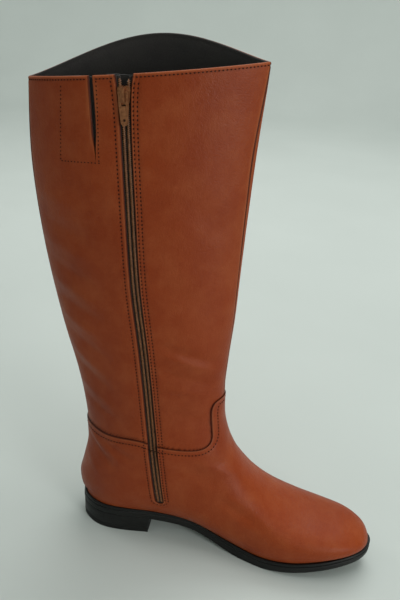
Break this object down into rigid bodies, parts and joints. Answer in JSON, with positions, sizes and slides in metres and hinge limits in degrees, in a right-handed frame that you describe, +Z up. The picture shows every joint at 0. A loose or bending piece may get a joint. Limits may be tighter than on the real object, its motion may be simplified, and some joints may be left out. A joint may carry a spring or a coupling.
{
  "type": "knee-high boot",
  "caption": "Knee-high leather riding boot for the left foot: hollow foot and tall shaft on a low-heeled sole, with a long zip, slider and hinged pull tab on the inner side",
  "frame": {"origin": "on the floor, on the underside of the heel, 34 mm in front of the back of the heel, in the plane of the shaft's front and back seams", "axes": "+X to the toe, +Y to the outer (lateral) side of the left foot, -Y to the inner side with the zip, +Z up the shaft"},
  "size_m": [0.323, 0.0892, 0.4397],
  "materials": {
    "leather": "smooth cognac brown calf leather, semi-gloss, with soft creases",
    "lining": "smooth black lining leather, satin",
    "sole_rubber": "black moulded rubber, satin, fine edge rib",
    "welt": "black welt, satin, stitched",
    "insole": "dark brown-black leather sock, matt",
    "zip_tape": "dark brown woven polyester tape",
    "zip_coil": "tan brown nylon coil",
    "elastic": "dark brown ribbed elastic webbing",
    "zip_metal": "antique brass, worn bright on its edges"
  },
  "bodies": {
    "boot": {"outsole": "sole_rubber", "heel": "sole_rubber", "welt": "welt", "insole": "insole", "upper": "leather", "shaft": "leather", "zip_tape_front": "zip_tape", "zip_tape_rear": "zip_tape", "zip_coil_front": "zip_coil", "zip_coil_rear": "zip_coil", "zip_guard": "lining", "gore": "elastic", "zip_slider": "zip_metal"},
    "pull": {"zip_pull": "zip_metal"}
  },
  "joints": [
    {"name": "pull_hinge", "type": "hinge", "parent": "boot", "child": "pull", "pos_m": [-0.0003, -0.03279, 0.4048], "axis": [-0.9947, 0.0452, -0.0924], "range_deg": [0, 165]}
  ]
}
